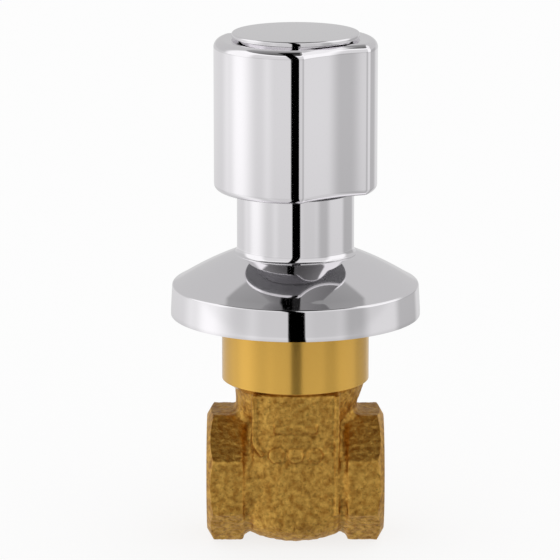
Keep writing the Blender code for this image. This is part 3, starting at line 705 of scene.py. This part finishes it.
def collar():
    """The turned collar, chamfered at its foot."""
    profile = [
        (0.0, collar_top),
        (collar_r - COLLAR_EDGE, collar_top),
        (collar_r, collar_top - COLLAR_EDGE),
        (collar_r, collar_low),
        (collar_r - COLLAR_CHAMFER_WIDTH, collar_low - COLLAR_CHAMFER_LENGTH),
        (0.0, collar_low - COLLAR_CHAMFER_LENGTH),
    ]
    return lathe("collar", profile)


def facing_tool(side):
    """What the lathe takes off an end: all beyond its face and outside the cone of its chamfer."""
    land_r = PORT_R + PORT_CHAMFER + FACE_LAND
    spare = 0.006
    drop = spare * math.tan(FACE_CHAMFER_ANGLE)
    profile = [
        (0.0, spare),
        (land_r + spare, spare),
        (land_r + spare, -drop),
        (land_r, 0.0),
        (0.0, 0.0),
    ]
    return along_pipe(lathe("facing_tool", profile), side, face_x)


def threaded_port(side):
    """The room of a port: a chamfered mouth, then the grooves of the pipe thread to a flat floor."""
    around = 96
    per_turn = 8
    pitch = THREAD_PITCH / per_turn
    rings = int(PORT_DEPTH / pitch)
    deselect()
    bpy.ops.mesh.primitive_circle_add(vertices=around, radius=PORT_R, fill_type="NGON",
                                      location=(0, 0, -PORT_DEPTH))
    piece = named("threaded_port")
    bpy.ops.object.mode_set(mode="EDIT")
    bpy.ops.mesh.select_all(action="SELECT")
    for _ in range(rings + per_turn):
        bpy.ops.mesh.extrude_region_move(TRANSFORM_OT_translate={"value": (0, 0, pitch)})
    close_up()
    for vertex in piece.data.vertices:
        angle = math.atan2(vertex.co.y, vertex.co.x)
        phase = vertex.co.z / THREAD_PITCH - angle / (2 * math.pi)
        fade = min(1.0, max(0.0, (vertex.co.z + PORT_DEPTH) / THREAD_PITCH - 0.5))
        radius = PORT_R + fade * THREAD_DEPTH * (1 - math.cos(2 * math.pi * phase)) / 2
        vertex.co.x = radius * math.cos(angle)
        vertex.co.y = radius * math.sin(angle)
    mouth_r = PORT_R + PORT_CHAMFER
    mouth = lathe("mouth", [(0.0, PORT_CHAMFER), (mouth_r + PORT_CHAMFER, PORT_CHAMFER),
                            (PORT_R, -PORT_CHAMFER), (0.0, -PORT_CHAMFER)])
    combine(piece, "UNION", mouth)
    return along_pipe(piece, side, face_x)


def flow_bore():
    """The bore between the two ports, a little longer than the wall that it goes through."""
    spare = 0.001
    deselect()
    bpy.ops.mesh.primitive_cylinder_add(vertices=96, radius=FLOW_R, depth=2 * (face_x - PORT_DEPTH) + spare,
                                        location=(0, 0, pipe_z), rotation=(0, math.pi / 2, 0))
    return named("flow_bore")


def gate_room():
    """The tapered room that the gate slides in, open at the top into the collar."""
    room_r = gate_high.y + GATE_EDGE_GAP
    top = collar_floor + COLLAR_EDGE
    outline = [(room_r, top)] + arc(0.0, pipe_z, room_r, 0, -180, steps=32) + [(-room_r, top)]
    half = GATE_HALF_THICKNESS + GAP
    piece = trace("gate_room", [(-half, depth, height) for depth, height in outline])
    bpy.ops.mesh.edge_face_add()
    bpy.ops.mesh.extrude_region_move(TRANSFORM_OT_translate={"value": (2 * half, 0, 0)})
    close_up()
    for vertex in piece.data.vertices:
        lean = (vertex.co.z - pipe_z) * math.tan(GATE_TAPER)
        vertex.co.x += math.copysign(lean, vertex.co.x)
    return piece


def collar_room():
    """The bore that the bonnet screws into."""
    bore_r = collar_r - COLLAR_WALL
    above = collar_top + COLLAR_EDGE
    profile = [
        (0.0, above),
        (bore_r + 2 * COLLAR_EDGE, above),
        (bore_r, collar_top - COLLAR_EDGE),
        (bore_r, collar_floor),
        (0.0, collar_floor),
    ]
    return lathe("collar_room", profile)


def clouds(name, size, depth):
    """A soft random pattern, for pushing the cast skin in and out."""
    made = bpy.data.textures.new(name, "CLOUDS")
    made.noise_scale = size
    made.noise_depth = depth
    return made


def valve_casting(cast, turned):
    """The body: rough forms melted into one skin, roughened like sand, then turned, bored and threaded."""
    piece = cast_chamber()
    combine(piece, "UNION", cast_waist(), cast_neck(), cast_end(-1), cast_end(1), solver="EXACT")
    piece.name = "valve_casting"
    piece.data.name = "valve_casting"
    modify(piece, "REMESH", mode="VOXEL", voxel_size=SKIN_VOXEL)
    modify(piece, "DISPLACE", strength=CAST_FILLET, mid_level=0.0)
    modify(piece, "REMESH", mode="VOXEL", voxel_size=SKIN_VOXEL)
    modify(piece, "DISPLACE", strength=-CAST_FILLET, mid_level=0.0)
    modify(piece, "SMOOTH", factor=0.5, iterations=12)
    combine(piece, "UNION", *cast_relief())
    modify(piece, "REMESH", mode="VOXEL", voxel_size=SKIN_VOXEL)
    modify(piece, "SMOOTH", factor=0.5, iterations=4)
    for name, size, depth, strength in SKIN_PATTERNS:
        modify(piece, "DISPLACE", texture=clouds(name, size, depth), texture_coords="LOCAL",
               strength=strength, mid_level=0.5)
    for vertex in piece.data.vertices:
        vertex.co.z = max(vertex.co.z, body_low.z)
    machined = [
        ("DIFFERENCE", facing_tool(-1)),
        ("DIFFERENCE", facing_tool(1)),
        ("UNION", collar()),
        ("DIFFERENCE", threaded_port(-1)),
        ("DIFFERENCE", threaded_port(1)),
        ("DIFFERENCE", flow_bore()),
        ("DIFFERENCE", gate_room()),
        ("DIFFERENCE", collar_room()),
    ]
    give_finishes((cast, turned), piece, *(tool for operation, tool in machined))
    for operation, tool in machined[:2]:
        for face in tool.data.polygons:
            face.material_index = int(abs(face.normal.x) > SQUARE)
    for operation, tool in machined:
        combine(piece, operation, tool)
    pick(piece)
    bpy.ops.object.shade_smooth_by_angle(angle=CAST_ANGLE)
    return piece


# Studio

CAMERA_TARGET = Vector((-0.0040, 0.0, 0.0680))
CAMERA_ELEVATION = math.radians(13)
CAMERA_DISTANCE = 0.978
CAMERA_LENS = 243
CAMERA_SENSOR = 36

WALL_GREY = 0.68                   # the tent's own level, where no panel stands
WALL_LIFT = 1.16                   # a band where it is lighter: it rises and falls over these elevations
WALL_LIFT_RISE = (-14.2, -10)
WALL_LIFT_FALL = (-9.3, -8.7)
PANELS = (                         # azimuth from the front, half width and softness in degrees, level
    (180, 22, 10, 0.68),           # white paper behind
    (-86, 17, 15, 1.0),            # large softbox at the left
    (-112, 8, 10, 0.81),           # its spill
    (-40, 5, 6, 0.76),             # narrow reflector
    (27, 13, 6, 0.63),             # wall at the right of the lens
    (88, 14, 8, 0.70),             # weak fill at the right
    (57, 11, 7, 0.48),             # grey flag
    (128, 20, 6, 0.46),            # grey flag
)
SIDE_LEVEL = 1.12                  # softboxes at the left and the right
SIDE_AT = 90                       # azimuth of their middle, and their half width
SIDE_HALF = 26
SIDE_INNER = 10                    # their edge fades from this much inside that
SIDE_OUTER = 4                     # to this much outside
SIDE_FROM = -4                     # elevation of their foot
SIDE_BELOW = 2                     # which fades from this much below
SIDE_ABOVE = 4                     # to this much above
FRONT_LEVEL = 0.78                 # grey front walls, above the horizon
FRONT_SOFT = 6                     # elevation at which they have faded in
HIGH_LEVEL = 1.15                  # lit band under the ceiling, all round the front
HIGH_FROM = 33                     # elevation where it starts to fade in
HIGH_SOFT = 10                     # and over how much
HIGH_HALF = 120                    # its half width
HIGH_INNER = 15                    # its edge fades from this much inside that
HIGH_OUTER = 5                     # to this much outside
BACK_LEVEL = 0.61                  # paper above the back wall
LAMP_AT = 108                      # a tall softbox high at the right: azimuth and half width
LAMP_HALF = 30
LAMP_SOFT = 8                      # fade of its sides
LAMP_FADE = 4                      # fade of its foot and top
LAMP_FROM = 30                     # elevations of its foot and top
LAMP_TO = 63
LAMP_LEVEL = 1.0
CEILING_FROM = 0.7535              # height where it starts, as a sine
CEILING_SOFT = 0.03
CEILING_TILT = -0.055              # it starts lower at the front
CEILING_LEVEL = 0.24               # the dark ceiling, straight overhead
CEILING_SLOPE = 0.28               # it gets lighter towards the back by this much
CARD_HALF = 0.127                  # half width of the black card along the front, as a sine
CARD_CENTRE = 0.002                # its place at the horizon, as a sine, and how it leans to the left
CARD_LEAN = -0.09
CARD_TAPER = -0.3                  # it narrows upwards
CARD_BEND = -0.06                  # it leans more above the horizon
CARD_SOFT = 0.012
BACK_SOFT = 0.02                   # softness of its end, over the middle of the tent
HATCH_X = 0.02                     # the dark hatch overhead: its centre and radius, as sines
HATCH_Y = -0.12
HATCH_R = 0.26
HATCH_SOFT = 0.02
HATCH_ABOVE = 0.3                  # it fades in from the horizon to this height
HATCH_LEVEL = 0.015
FLOOR_GLOW = 0.8                   # share of plain white in what the camera sees of the floor


def tent(tree):
    """The level of the studio's walls and roof, by direction."""
    direction = add(tree, "ShaderNodeTexCoord").outputs["Generated"]
    split = add(tree, "ShaderNodeSeparateXYZ", {"Vector": direction})
    height = split.outputs["Z"]

    def maths(operation, *values):
        """The result of one sum."""
        return add(tree, "ShaderNodeMath", dict(enumerate(values)), operation=operation).outputs[0]

    def between(value, low, high):
        """0 below one value, 1 above the other, and a smooth rise from one to the other."""
        links = {"Value": value, "From Min": low, "From Max": high}
        return add(tree, "ShaderNodeMapRange", links, interpolation_type="SMOOTHSTEP").outputs["Result"]

    def above(low, high):
        """The same, by elevation in degrees."""
        return between(height, math.sin(math.radians(low)), math.sin(math.radians(high)))

    def mixed(share, first, second):
        """Two levels mixed."""
        return add(tree, "ShaderNodeMix", {"Factor": share, "A": first, "B": second}).outputs[0]

    azimuth = maths("ARCTAN2", split.outputs["X"], maths("MULTIPLY", split.outputs["Y"], -1.0))

    def away_from(bearing):
        """Angle round the tent from a bearing, either way."""
        return maths("ABSOLUTE", maths("WRAP", maths("SUBTRACT", azimuth, bearing), math.pi, -math.pi))

    level = WALL_GREY
    for bearing, half, soft, brightness in PANELS:
        off = away_from(math.radians(bearing))
        outside = between(off, math.radians(half - soft), math.radians(half + soft))
        level = mixed(outside, brightness, level)
    lift = maths("SUBTRACT", above(*WALL_LIFT_RISE), above(*WALL_LIFT_FALL))
    level = maths("MULTIPLY", level, mixed(lift, 1.0, WALL_LIFT))
    front = away_from(0.0)
    behind = between(front, math.radians(HIGH_HALF - HIGH_INNER), math.radians(HIGH_HALF + HIGH_OUTER))
    level = mixed(above(0, FRONT_SOFT), level, mixed(behind, FRONT_LEVEL, BACK_LEVEL))
    aside = maths("ABSOLUTE", maths("SUBTRACT", front, math.radians(SIDE_AT)))
    beyond = between(aside, math.radians(SIDE_HALF - SIDE_INNER), math.radians(SIDE_HALF + SIDE_OUTER))
    upper = above(SIDE_FROM - SIDE_BELOW, SIDE_FROM + SIDE_ABOVE)
    level = mixed(upper, level, mixed(beyond, SIDE_LEVEL, level))
    level = mixed(above(HIGH_FROM, HIGH_FROM + HIGH_SOFT), level, mixed(behind, HIGH_LEVEL, BACK_LEVEL))
    ceiling = maths("MULTIPLY_ADD", split.outputs["Y"], CEILING_SLOPE, CEILING_LEVEL)
    tilted = maths("MULTIPLY_ADD", split.outputs["Y"], CEILING_TILT, height)
    level = mixed(between(tilted, CEILING_FROM, CEILING_FROM + CEILING_SOFT), level, ceiling)
    from_lamp = away_from(math.radians(LAMP_AT))
    off_lamp = between(from_lamp, math.radians(LAMP_HALF - LAMP_SOFT), math.radians(LAMP_HALF))
    lit = maths("SUBTRACT", above(LAMP_FROM - LAMP_FADE, LAMP_FROM), above(LAMP_TO - LAMP_FADE, LAMP_TO))
    level = mixed(lit, level, mixed(off_lamp, LAMP_LEVEL, level))
    off_x = maths("SUBTRACT", split.outputs["X"], HATCH_X)
    off_y = maths("SUBTRACT", split.outputs["Y"], HATCH_Y)
    off_hatch = maths("SQRT", maths("MULTIPLY_ADD", off_x, off_x, maths("MULTIPLY", off_y, off_y)))
    outside_hatch = between(off_hatch, HATCH_R - HATCH_SOFT, HATCH_R + HATCH_SOFT)
    around = maths("MAXIMUM", outside_hatch, between(height, HATCH_ABOVE, 0.0))
    level = mixed(around, HATCH_LEVEL, level)
    leaning = maths("MULTIPLY_ADD", height, CARD_LEAN, CARD_CENTRE)
    middle = maths("MULTIPLY_ADD", maths("MAXIMUM", height, 0.0), CARD_BEND, leaning)
    half = maths("MULTIPLY_ADD", height, CARD_TAPER * CARD_HALF, CARD_HALF)
    beside = maths("SUBTRACT", maths("ABSOLUTE", maths("SUBTRACT", split.outputs["X"], middle)), half)
    off_card = between(beside, -CARD_SOFT, CARD_SOFT)
    back_half = between(split.outputs["Y"], -BACK_SOFT, BACK_SOFT)
    return mixed(maths("MAXIMUM", off_card, back_half), 0.0, level)


def studio():
    """A white tent: plain white to the camera, even light for matt surfaces, soft panels for shiny ones."""
    world = bpy.data.worlds.new("white_tent")
    bpy.context.scene.world = world
    world.use_nodes = True
    tree = world.node_tree
    tree.nodes.clear()
    path = add(tree, "ShaderNodeLightPath")
    shiny = add(tree, "ShaderNodeMix", {"Factor": path.outputs["Is Glossy Ray"], "A": 1.0, "B": tent(tree)})
    light = add(tree, "ShaderNodeBackground", {"Color": shiny.outputs[0], "Strength": 1.0})
    add(tree, "ShaderNodeOutputWorld", {"Surface": light.outputs["Background"]})


def floor():
    """A plain pale floor that keeps the valve's shadow."""
    deselect()
    bpy.ops.mesh.primitive_plane_add(size=8)
    piece = named("floor")
    made, tree, shader = surface("pale_floor")[:3]
    shader.inputs["Base Color"].default_value = linear("#F4F4F4")
    shader.inputs["Roughness"].default_value = 1.0
    shader.inputs["Specular IOR Level"].default_value = 0.0
    glow = add(tree, "ShaderNodeEmission", {"Color": (1, 1, 1, 1), "Strength": 1.0})
    seen = add(tree, "ShaderNodeLightPath").outputs["Is Camera Ray"]
    share = add(tree, "ShaderNodeMath", {0: seen, 1: FLOOR_GLOW}, operation="MULTIPLY")
    blend = add(tree, "ShaderNodeMixShader", {0: share.outputs[0], 1: shader.outputs["BSDF"],
                                              2: glow.outputs[0]})
    tree.links.new(blend.outputs[0], tree.nodes["Material Output"].inputs["Surface"])
    piece.data.materials.append(made)
    piece.visible_glossy = False


def camera():
    """The photograph's view: straight at the pipe, from a little above."""
    data = bpy.data.cameras.new("front_camera")
    data.lens = CAMERA_LENS
    data.sensor_width = CAMERA_SENSOR
    data.clip_end = 20
    made = bpy.data.objects.new("front_camera", data)
    bpy.context.scene.collection.objects.link(made)
    away = Vector((0, -math.cos(CAMERA_ELEVATION), math.sin(CAMERA_ELEVATION)))
    made.location = CAMERA_TARGET + CAMERA_DISTANCE * away
    made.rotation_euler = (-away).to_track_quat("-Z", "Y").to_euler()
    bpy.context.scene.camera = made


def dress():
    """Make every piece and give it its finish and its body."""
    chrome = polished_chrome()
    cast = sand_cast_brass()
    turned = turned_brass()
    # Cast zinc that the plating left bare: a dull mid grey
    inside = plain_finish("die_cast_zinc_unplated", "#949496", 1.0, 0.55, 0.0006, 0.00002)
    # Stainless steel off the lathe: a pale satin
    steel = plain_finish("turned_stainless_steel", "#CFCFD0", 1.0, 0.28, 0.0004, 0.00001)
    # Moulded rubber: a soft, matt near-black
    rubber = plain_finish("moulded_black_rubber", "#1C1C1C", 0.0, 0.6, 0.0003, 0.00002)
    # Pressed packing: pale, dry and coarse
    fibre = plain_finish("pressed_packing_fibre", "#E0DCD0", 0.0, 0.8, 0.0005, 0.00005)
    # Moulded plastic: off-white, with a slight gloss
    plastic = plain_finish("moulded_white_plastic", "#DCDCD8", 0.0, 0.4, 0.0006, 0.00001)

    for made, node, body in (
        (fluted_knob(chrome, inside), "knob", "handle"),
        (raised_cap(), "knob_cap", "handle"),
        (flared_sleeve(), "sleeve", "root"),
        (wall_flange(), "escutcheon", "root"),
    ):
        if not made.data.materials:
            made.data.materials.append(chrome)
        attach(made, body)
        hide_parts(node)

    casting = valve_casting(cast, turned)
    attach(casting, "root")
    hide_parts("valve_body")

    finishes = {
        "cast_brass": cast,
        "turned_brass": turned,
        "stainless_steel": steel,
        "black_rubber": rubber,
        "packing_fibre": fibre,
        "moulded_plastic": plastic,
        "chrome_plate": chrome,
    }
    for subpart in frame["record"]["subparts"]:
        node = frame["nodes"][subpart["node"]]
        node.data.materials.clear()
        node.data.materials.append(finishes[subpart["material_slot"]])


dress()
floor()
studio()
camera()
bpy.context.scene.view_settings.view_transform = "Standard"
